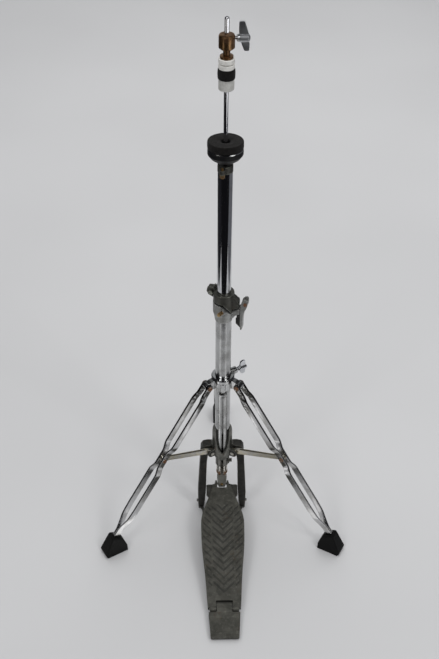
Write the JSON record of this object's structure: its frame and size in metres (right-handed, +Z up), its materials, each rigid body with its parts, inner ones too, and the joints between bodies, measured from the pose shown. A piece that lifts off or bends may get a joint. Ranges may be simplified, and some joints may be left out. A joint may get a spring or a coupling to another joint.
{
  "type": "hi-hat stand",
  "caption": "Double-braced hi-hat stand with folding tripod, chevron footboard, sprung pull rod, tilting cymbal seat and rod clutch.",
  "frame": {"origin": "middle of the stand's footprint, on the floor", "axes": "+Z up along the tube; -Y towards the player and the heel plate; +X to the player's right, on the side of the wing screws"},
  "size_m": [0.431, 0.5376, 0.9325],
  "materials": {
    "chrome": "bright chrome plate, lightly worn",
    "brushed_chrome": "dull nickel-chrome tube",
    "light_casting": "tumbled die casting",
    "dark_casting": "dark grey casting, satin",
    "board_casting": "worn dark cast aluminium",
    "aged_bronze": "tarnished bronze plate",
    "brass": "brass, partly rusted",
    "white_nylon": "white nylon",
    "black_plastic": "black moulded plastic",
    "black_felt": "black pressed felt",
    "rubber": "black rubber",
    "tarnished_steel": "tarnished zinc plate",
    "rusty_steel": "rivet with rust",
    "spring_steel": "oiled spring wire"
  },
  "bodies": {
    "base": {"lower_tube": "brushed_chrome", "tube_bush": "black_plastic", "clamp_casting": "light_casting", "clamp_bolt": "brass", "lever_pin": "rusty_steel", "base_casting": "dark_casting", "brace_pins": "tarnished_steel", "stop_bolt": "chrome", "guide_sleeve": "tarnished_steel", "guide_screw": "chrome", "spring_seat": "tarnished_steel", "return_spring": "spring_steel", "heel_plate": "board_casting", "heel_hinge_pin": "tarnished_steel", "radius_rods": "dark_casting", "arm_screws": "dark_casting", "floor_pads": "rubber"},
    "mast": {"upper_tube": "chrome", "seat_bracket": "dark_casting", "seat_pins": "tarnished_steel"},
    "memory_lock": {"memory_lock": "dark_casting", "memory_lock_screw": "dark_casting"},
    "seat": {"seat_cup": "black_plastic", "seat_washer": "brushed_chrome", "seat_felt": "black_felt"},
    "tilt_screw": {"tilt_screw": "brass"},
    "pull_rod": {"upper_pull_rod": "chrome", "rod_coupling": "tarnished_steel", "lower_pull_rod": "tarnished_steel", "spring_collar": "tarnished_steel", "rod_clevis": "tarnished_steel", "clevis_pin": "tarnished_steel"},
    "clutch": {"clutch_body": "aged_bronze", "clutch_upper_rings": "white_nylon", "clutch_felt": "black_felt", "clutch_bottom_nut": "light_casting"},
    "clutch_screw": {"clutch_wing_screw": "chrome"},
    "footboard": {"footboard": "board_casting", "toe_pin": "tarnished_steel"},
    "link": {"toe_link": "dark_casting", "link_rivet": "brass"},
    "hub": {"leg_hub": "chrome", "hub_rivets": "rusty_steel"},
    "hub_screw": {"hub_wing_screw": "chrome"},
    "lever": {"clamp_lever": "light_casting"},
    "front_left_leg": {"front_left_leg_bar_a": "chrome", "front_left_leg_bar_b": "chrome", "front_left_leg_rivet": "rusty_steel", "front_left_foot": "rubber"},
    "front_left_brace": {"front_left_brace": "tarnished_steel"},
    "front_right_leg": {"front_right_leg_bar_a": "chrome", "front_right_leg_bar_b": "chrome", "front_right_leg_rivet": "rusty_steel", "front_right_foot": "rubber"},
    "front_right_brace": {"front_right_brace": "tarnished_steel"},
    "rear_leg": {"rear_leg_bar_a": "chrome", "rear_leg_bar_b": "chrome", "rear_leg_rivet": "rusty_steel", "rear_foot": "rubber"},
    "rear_brace": {"rear_brace": "tarnished_steel"}
  },
  "joints": [
    {"name": "height_adjust", "type": "slide", "parent": "base", "child": "mast", "axis": [0, 0, 1], "range_m": [0, 0.06]},
    {"name": "memory_lock_slide", "type": "slide", "parent": "mast", "child": "memory_lock", "axis": [0, 0, 1], "range_m": [0, 0.15]},
    {"name": "pedal_press", "type": "hinge", "parent": "base", "child": "footboard", "pos_m": [0, -0.21775, 0.012], "axis": [1, 0, 0], "range_deg": [-8.5, 0], "stiffness_Nm_per_rad": 14, "springref_deg": 14.9},
    {"name": "rod_slide", "type": "slide", "parent": "base", "child": "pull_rod", "axis": [0, 0, 1], "range_m": [-0.035, 0], "deforming": ["return_spring"]},
    {"name": "link_swing", "type": "hinge", "parent": "pull_rod", "child": "link", "pos_m": [0, 0.02725, 0.086], "axis": [1, 0, 0], "range_deg": [0, 9.2]},
    {"name": "clutch_slide", "type": "slide", "parent": "pull_rod", "child": "clutch", "axis": [0, 0, 1], "range_m": [-0.012, 0.018]},
    {"name": "clutch_screw_turn", "type": "hinge", "parent": "clutch", "child": "clutch_screw", "pos_m": [0.012, 0.02725, 0.9036], "axis": [1, 0, 0], "range_deg": [0, 360]},
    {"name": "seat_tilt", "type": "hinge", "parent": "mast", "child": "seat", "pos_m": [0, 0.02725, 0.726], "axis": [1, 0, 0], "range_deg": [-2, 8]},
    {"name": "tilt_screw_turn", "type": "hinge", "parent": "mast", "child": "tilt_screw", "pos_m": [-0.0046, 0.01205, 0.71], "axis": [0, 0, 1], "range_deg": [-180, 720]},
    {"name": "hub_slide", "type": "slide", "parent": "base", "child": "hub", "axis": [0, 0, 1], "range_m": [0, 0.07]},
    {"name": "hub_screw_turn", "type": "hinge", "parent": "hub", "child": "hub_screw", "pos_m": [0.02634, 0.04161, 0.317], "axis": [0.878, 0.4787, 0], "range_deg": [0, 360]},
    {"name": "clamp_lever_swing", "type": "hinge", "parent": "base", "child": "lever", "pos_m": [0.03381, 0.01819, 0.475], "axis": [-0.2588, -0.9659, 0], "range_deg": [0, 85]},
    {"name": "front_left_leg_fold", "type": "hinge", "parent": "hub", "child": "front_left_leg", "pos_m": [-0.02598, 0.01225, 0.305], "axis": [0.5, -0.866, 0], "range_deg": [0, 15]},
    {"name": "front_left_brace_fold", "type": "hinge", "parent": "front_left_leg", "child": "front_left_brace", "pos_m": [-0.10219, -0.03175, 0.178], "axis": [-0.5, 0.866, 0], "range_deg": [0, 50.5]},
    {"name": "front_right_leg_fold", "type": "hinge", "parent": "hub", "child": "front_right_leg", "pos_m": [0.02598, 0.01225, 0.305], "axis": [0.5, 0.866, 0], "range_deg": [0, 15]},
    {"name": "front_right_brace_fold", "type": "hinge", "parent": "front_right_leg", "child": "front_right_brace", "pos_m": [0.10219, -0.03175, 0.178], "axis": [-0.5, -0.866, 0], "range_deg": [0, 50.5]},
    {"name": "rear_leg_fold", "type": "hinge", "parent": "hub", "child": "rear_leg", "pos_m": [0, 0.05725, 0.305], "axis": [-1, 0, 0], "range_deg": [0, 15]},
    {"name": "rear_brace_fold", "type": "hinge", "parent": "rear_leg", "child": "rear_brace", "pos_m": [0, 0.14525, 0.178], "axis": [1, 0, 0], "range_deg": [0, 50.5]}
  ],
  "couplings": [
    {"joint": "rod_slide", "follows": "pedal_press", "m_per_rad": 0.23073},
    {"joint": "link_swing", "follows": "pedal_press", "ratio": -1.0308},
    {"joint": "tilt_screw_turn", "follows": "seat_tilt", "ratio": 90},
    {"joint": "front_left_leg_fold", "follows": "hub_slide", "rad_per_m": 3.6801},
    {"joint": "front_left_brace_fold", "follows": "hub_slide", "rad_per_m": 12.447},
    {"joint": "front_right_leg_fold", "follows": "hub_slide", "rad_per_m": 3.6801},
    {"joint": "front_right_brace_fold", "follows": "hub_slide", "rad_per_m": 12.447},
    {"joint": "rear_leg_fold", "follows": "hub_slide", "rad_per_m": 3.6801},
    {"joint": "rear_brace_fold", "follows": "hub_slide", "rad_per_m": 12.447}
  ]
}
